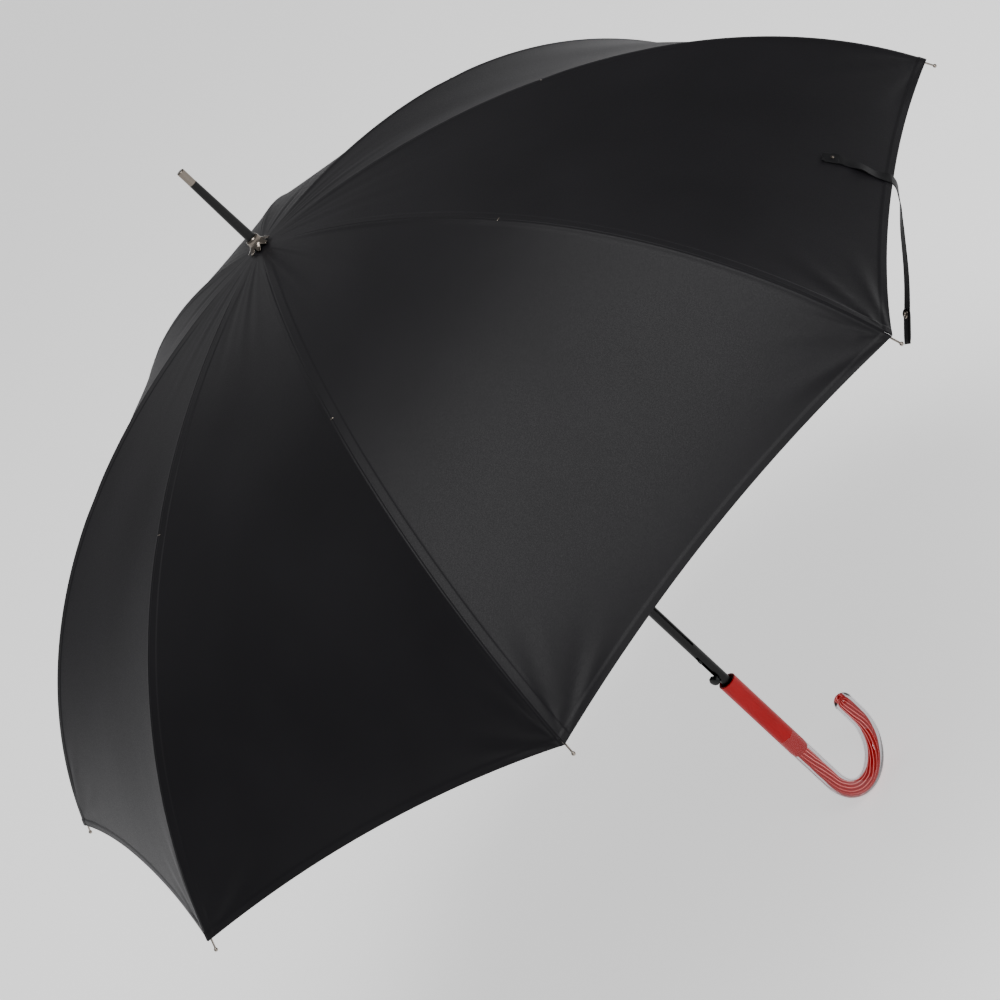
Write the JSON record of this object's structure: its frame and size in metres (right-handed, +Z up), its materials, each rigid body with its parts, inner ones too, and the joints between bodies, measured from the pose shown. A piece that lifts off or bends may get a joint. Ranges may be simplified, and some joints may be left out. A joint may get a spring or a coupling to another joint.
{
  "type": "stick umbrella",
  "caption": "Open stick umbrella: domed panelled canopy on folding ribs and stretchers, tubular shaft with sliding runner, push-button and crook handle.",
  "frame": {"origin": "on the shaft's axis, at the mouth of the handle", "axes": "+Z up the shaft to the ferrule, +X towards the crook's open side"},
  "size_m": [1.024, 1.024, 0.9048],
  "materials": {
    "canopy_cloth": "satin woven polyester pongee",
    "strap_cloth": "woven tape",
    "rib_steel": "black enamelled steel, nickel ball tips",
    "nickel": "polished nickel plate",
    "spring_steel": "drawn wire",
    "shaft_enamel": "semi-gloss black enamel",
    "ferrule_black": "gloss black",
    "black_plastic": "moulded nylon",
    "red_plastic": "gloss moulded",
    "clear_acrylic": "polished clear acrylic",
    "red_cord": "twisted glossy strands"
  },
  "bodies": {
    "root": {"shaft_tube": "shaft_enamel", "ferrule_sleeve": "ferrule_black", "ferrule_cap": "nickel", "crown_cap": "nickel", "crown_notch": "black_plastic", "crown_ring_wire": "spring_steel", "spring_seat": "black_plastic", "main_spring": "spring_steel", "catch_spring": "spring_steel", "handle_sleeve": "red_plastic", "handle_collar": "black_plastic", "handle_crook": "clear_acrylic", "handle_cord": "red_cord"},
    "runner": {"runner_sleeve": "black_plastic", "runner_notch": "black_plastic", "runner_ring_wire": "spring_steel", "spring_follower": "black_plastic"},
    "button": {"push_button": "black_plastic", "bottom_catch": "black_plastic"},
    "top_catch": {"top_catch": "black_plastic"},
    "rib_1": {"rib_1": "rib_steel"},
    "stretcher_1": {"stretcher_1": "rib_steel"},
    "gore_1a": {"half_gore_1a": "canopy_cloth"},
    "gore_1b": {"half_gore_1b": "canopy_cloth"},
    "rib_2": {"rib_2": "rib_steel"},
    "stretcher_2": {"stretcher_2": "rib_steel"},
    "gore_2a": {"half_gore_2a": "canopy_cloth"},
    "gore_2b": {"half_gore_2b": "canopy_cloth"},
    "rib_3": {"rib_3": "rib_steel"},
    "stretcher_3": {"stretcher_3": "rib_steel"},
    "gore_3a": {"half_gore_3a": "canopy_cloth"},
    "gore_3b": {"half_gore_3b": "canopy_cloth"},
    "rib_4": {"rib_4": "rib_steel"},
    "stretcher_4": {"stretcher_4": "rib_steel"},
    "gore_4a": {"half_gore_4a": "canopy_cloth"},
    "gore_4b": {"half_gore_4b": "canopy_cloth"},
    "rib_5": {"rib_5": "rib_steel"},
    "stretcher_5": {"stretcher_5": "rib_steel"},
    "gore_5a": {"half_gore_5a": "canopy_cloth"},
    "gore_5b": {"half_gore_5b": "canopy_cloth"},
    "rib_6": {"rib_6": "rib_steel"},
    "stretcher_6": {"stretcher_6": "rib_steel"},
    "gore_6a": {"half_gore_6a": "canopy_cloth"},
    "gore_6b": {"half_gore_6b": "canopy_cloth"},
    "rib_7": {"rib_7": "rib_steel"},
    "stretcher_7": {"stretcher_7": "rib_steel"},
    "gore_7a": {"half_gore_7a": "canopy_cloth"},
    "gore_7b": {"half_gore_7b": "canopy_cloth", "closing_strap": "strap_cloth", "strap_snap": "nickel"},
    "rib_8": {"rib_8": "rib_steel"},
    "stretcher_8": {"stretcher_8": "rib_steel"},
    "gore_8a": {"half_gore_8a": "canopy_cloth"},
    "gore_8b": {"half_gore_8b": "canopy_cloth"}
  },
  "joints": [
    {"name": "runner_slide", "type": "slide", "parent": "root", "child": "runner", "axis": [0, 0, 1], "range_m": [-0.37678, 0], "stiffness_N_per_m": 60, "springref_m": 0.16, "deforming": ["main_spring", "half_gore_1a", "half_gore_1b", "half_gore_2a", "half_gore_2b", "half_gore_3a", "half_gore_3b", "half_gore_4a", "half_gore_4b", "half_gore_5a", "half_gore_5b", "half_gore_6a", "half_gore_6b", "half_gore_7a", "half_gore_7b", "half_gore_8a", "half_gore_8b", "closing_strap", "strap_snap"]},
    {"name": "button_press", "type": "slide", "parent": "root", "child": "button", "axis": [1, 0, 0], "range_m": [0, 0.002], "stiffness_N_per_m": 600, "springref_m": -0.0015},
    {"name": "top_catch_press", "type": "slide", "parent": "root", "child": "top_catch", "axis": [-1, 0, 0], "range_m": [0, 0.0015], "stiffness_N_per_m": 600, "springref_m": -0.0015},
    {"name": "rib_1_fold", "type": "hinge", "parent": "root", "child": "rib_1", "pos_m": [0.00709, 0.00554, 0.6016], "axis": [-0.6157, 0.788, 0], "range_deg": [-0.01, 59.01]},
    {"name": "stretcher_1_fold", "type": "hinge", "parent": "rib_1", "child": "stretcher_1", "pos_m": [0.20899, 0.16328, 0.53721], "axis": [-0.6157, 0.788, 0], "range_deg": [-118.02, 0.02]},
    {"name": "gore_1a_fold", "type": "hinge", "parent": "rib_1", "child": "gore_1a", "pos_m": [0.00599, 0.00695, 0.6016], "axis": [-0.5237, -0.7046, -0.4789], "range_deg": [-0.01, 21.87]},
    {"name": "gore_1b_fold", "type": "hinge", "parent": "rib_1", "child": "gore_1b", "pos_m": [0.00819, 0.00413, 0.6016], "axis": [0.8103, 0.3377, 0.4789], "range_deg": [-0.01, 21.87]},
    {"name": "rib_2_fold", "type": "hinge", "parent": "root", "child": "rib_2", "pos_m": [0.0011, 0.00893, 0.6016], "axis": [-0.9925, 0.1219, 0], "range_deg": [-0.01, 59.01]},
    {"name": "stretcher_2_fold", "type": "hinge", "parent": "rib_2", "child": "stretcher_2", "pos_m": [0.03232, 0.26323, 0.53721], "axis": [-0.9925, 0.1219, 0], "range_deg": [-118.02, 0.02]},
    {"name": "gore_2a_fold", "type": "hinge", "parent": "rib_2", "child": "gore_2a", "pos_m": [-0.00068, 0.00915, 0.6016], "axis": [0.1279, -0.8685, -0.4789], "range_deg": [-0.01, 21.87]},
    {"name": "gore_2b_fold", "type": "hinge", "parent": "rib_2", "child": "gore_2b", "pos_m": [0.00287, 0.00872, 0.6016], "axis": [0.3342, 0.8118, 0.4789], "range_deg": [-0.01, 21.87]},
    {"name": "rib_3_fold", "type": "hinge", "parent": "root", "child": "rib_3", "pos_m": [-0.00554, 0.00709, 0.6016], "axis": [-0.788, -0.6157, 0], "range_deg": [-0.01, 59.01]},
    {"name": "stretcher_3_fold", "type": "hinge", "parent": "rib_3", "child": "stretcher_3", "pos_m": [-0.16328, 0.20899, 0.53721], "axis": [-0.788, -0.6157, 0], "range_deg": [-118.02, 0.02]},
    {"name": "gore_3a_fold", "type": "hinge", "parent": "rib_3", "child": "gore_3a", "pos_m": [-0.00695, 0.00599, 0.6016], "axis": [0.7046, -0.5237, -0.4789], "range_deg": [-0.01, 21.87]},
    {"name": "gore_3b_fold", "type": "hinge", "parent": "rib_3", "child": "gore_3b", "pos_m": [-0.00413, 0.00819, 0.6016], "axis": [-0.3377, 0.8103, 0.4789], "range_deg": [-0.01, 21.87]},
    {"name": "rib_4_fold", "type": "hinge", "parent": "root", "child": "rib_4", "pos_m": [-0.00893, 0.0011, 0.6016], "axis": [-0.1219, -0.9925, 0], "range_deg": [-0.01, 59.01]},
    {"name": "stretcher_4_fold", "type": "hinge", "parent": "rib_4", "child": "stretcher_4", "pos_m": [-0.26323, 0.03232, 0.53721], "axis": [-0.1219, -0.9925, 0], "range_deg": [-118.02, 0.02]},
    {"name": "gore_4a_fold", "type": "hinge", "parent": "rib_4", "child": "gore_4a", "pos_m": [-0.00915, -0.00068, 0.6016], "axis": [0.8685, 0.1279, -0.4789], "range_deg": [-0.01, 21.87]},
    {"name": "gore_4b_fold", "type": "hinge", "parent": "rib_4", "child": "gore_4b", "pos_m": [-0.00872, 0.00287, 0.6016], "axis": [-0.8118, 0.3342, 0.4789], "range_deg": [-0.01, 21.87]},
    {"name": "rib_5_fold", "type": "hinge", "parent": "root", "child": "rib_5", "pos_m": [-0.00709, -0.00554, 0.6016], "axis": [0.6157, -0.788, 0], "range_deg": [-0.01, 59.01]},
    {"name": "stretcher_5_fold", "type": "hinge", "parent": "rib_5", "child": "stretcher_5", "pos_m": [-0.20899, -0.16328, 0.53721], "axis": [0.6157, -0.788, 0], "range_deg": [-118.02, 0.02]},
    {"name": "gore_5a_fold", "type": "hinge", "parent": "rib_5", "child": "gore_5a", "pos_m": [-0.00599, -0.00695, 0.6016], "axis": [0.5237, 0.7046, -0.4789], "range_deg": [-0.01, 21.87]},
    {"name": "gore_5b_fold", "type": "hinge", "parent": "rib_5", "child": "gore_5b", "pos_m": [-0.00819, -0.00413, 0.6016], "axis": [-0.8103, -0.3377, 0.4789], "range_deg": [-0.01, 21.87]},
    {"name": "rib_6_fold", "type": "hinge", "parent": "root", "child": "rib_6", "pos_m": [-0.0011, -0.00893, 0.6016], "axis": [0.9925, -0.1219, 0], "range_deg": [-0.01, 59.01]},
    {"name": "stretcher_6_fold", "type": "hinge", "parent": "rib_6", "child": "stretcher_6", "pos_m": [-0.03232, -0.26323, 0.53721], "axis": [0.9925, -0.1219, 0], "range_deg": [-118.02, 0.02]},
    {"name": "gore_6a_fold", "type": "hinge", "parent": "rib_6", "child": "gore_6a", "pos_m": [0.00068, -0.00915, 0.6016], "axis": [-0.1279, 0.8685, -0.4789], "range_deg": [-0.01, 21.87]},
    {"name": "gore_6b_fold", "type": "hinge", "parent": "rib_6", "child": "gore_6b", "pos_m": [-0.00287, -0.00872, 0.6016], "axis": [-0.3342, -0.8118, 0.4789], "range_deg": [-0.01, 21.87]},
    {"name": "rib_7_fold", "type": "hinge", "parent": "root", "child": "rib_7", "pos_m": [0.00554, -0.00709, 0.6016], "axis": [0.788, 0.6157, 0], "range_deg": [-0.01, 59.01]},
    {"name": "stretcher_7_fold", "type": "hinge", "parent": "rib_7", "child": "stretcher_7", "pos_m": [0.16328, -0.20899, 0.53721], "axis": [0.788, 0.6157, 0], "range_deg": [-118.02, 0.02]},
    {"name": "gore_7a_fold", "type": "hinge", "parent": "rib_7", "child": "gore_7a", "pos_m": [0.00695, -0.00599, 0.6016], "axis": [-0.7046, 0.5237, -0.4789], "range_deg": [-0.01, 21.87]},
    {"name": "gore_7b_fold", "type": "hinge", "parent": "rib_7", "child": "gore_7b", "pos_m": [0.00413, -0.00819, 0.6016], "axis": [0.3377, -0.8103, 0.4789], "range_deg": [-0.01, 21.87]},
    {"name": "rib_8_fold", "type": "hinge", "parent": "root", "child": "rib_8", "pos_m": [0.00893, -0.0011, 0.6016], "axis": [0.1219, 0.9925, 0], "range_deg": [-0.01, 59.01]},
    {"name": "stretcher_8_fold", "type": "hinge", "parent": "rib_8", "child": "stretcher_8", "pos_m": [0.26323, -0.03232, 0.53721], "axis": [0.1219, 0.9925, 0], "range_deg": [-118.02, 0.02]},
    {"name": "gore_8a_fold", "type": "hinge", "parent": "rib_8", "child": "gore_8a", "pos_m": [0.00915, 0.00068, 0.6016], "axis": [-0.8685, -0.1279, -0.4789], "range_deg": [-0.01, 21.87]},
    {"name": "gore_8b_fold", "type": "hinge", "parent": "rib_8", "child": "gore_8b", "pos_m": [0.00872, -0.00287, 0.6016], "axis": [0.8118, -0.3342, 0.4789], "range_deg": [-0.01, 21.87]}
  ],
  "couplings": [
    {"joint": "rib_1_fold", "follows": "runner_slide", "rad_per_m": -2.733},
    {"joint": "stretcher_1_fold", "follows": "runner_slide", "rad_per_m": 5.466},
    {"joint": "gore_1a_fold", "follows": "runner_slide", "rad_per_m": -1.0124},
    {"joint": "gore_1b_fold", "follows": "runner_slide", "rad_per_m": -1.0124},
    {"joint": "rib_2_fold", "follows": "runner_slide", "rad_per_m": -2.733},
    {"joint": "stretcher_2_fold", "follows": "runner_slide", "rad_per_m": 5.466},
    {"joint": "gore_2a_fold", "follows": "runner_slide", "rad_per_m": -1.0124},
    {"joint": "gore_2b_fold", "follows": "runner_slide", "rad_per_m": -1.0124},
    {"joint": "rib_3_fold", "follows": "runner_slide", "rad_per_m": -2.733},
    {"joint": "stretcher_3_fold", "follows": "runner_slide", "rad_per_m": 5.466},
    {"joint": "gore_3a_fold", "follows": "runner_slide", "rad_per_m": -1.0124},
    {"joint": "gore_3b_fold", "follows": "runner_slide", "rad_per_m": -1.0124},
    {"joint": "rib_4_fold", "follows": "runner_slide", "rad_per_m": -2.733},
    {"joint": "stretcher_4_fold", "follows": "runner_slide", "rad_per_m": 5.466},
    {"joint": "gore_4a_fold", "follows": "runner_slide", "rad_per_m": -1.0124},
    {"joint": "gore_4b_fold", "follows": "runner_slide", "rad_per_m": -1.0124},
    {"joint": "rib_5_fold", "follows": "runner_slide", "rad_per_m": -2.733},
    {"joint": "stretcher_5_fold", "follows": "runner_slide", "rad_per_m": 5.466},
    {"joint": "gore_5a_fold", "follows": "runner_slide", "rad_per_m": -1.0124},
    {"joint": "gore_5b_fold", "follows": "runner_slide", "rad_per_m": -1.0124},
    {"joint": "rib_6_fold", "follows": "runner_slide", "rad_per_m": -2.733},
    {"joint": "stretcher_6_fold", "follows": "runner_slide", "rad_per_m": 5.466},
    {"joint": "gore_6a_fold", "follows": "runner_slide", "rad_per_m": -1.0124},
    {"joint": "gore_6b_fold", "follows": "runner_slide", "rad_per_m": -1.0124},
    {"joint": "rib_7_fold", "follows": "runner_slide", "rad_per_m": -2.733},
    {"joint": "stretcher_7_fold", "follows": "runner_slide", "rad_per_m": 5.466},
    {"joint": "gore_7a_fold", "follows": "runner_slide", "rad_per_m": -1.0124},
    {"joint": "gore_7b_fold", "follows": "runner_slide", "rad_per_m": -1.0124},
    {"joint": "rib_8_fold", "follows": "runner_slide", "rad_per_m": -2.733},
    {"joint": "stretcher_8_fold", "follows": "runner_slide", "rad_per_m": 5.466},
    {"joint": "gore_8a_fold", "follows": "runner_slide", "rad_per_m": -1.0124},
    {"joint": "gore_8b_fold", "follows": "runner_slide", "rad_per_m": -1.0124}
  ]
}
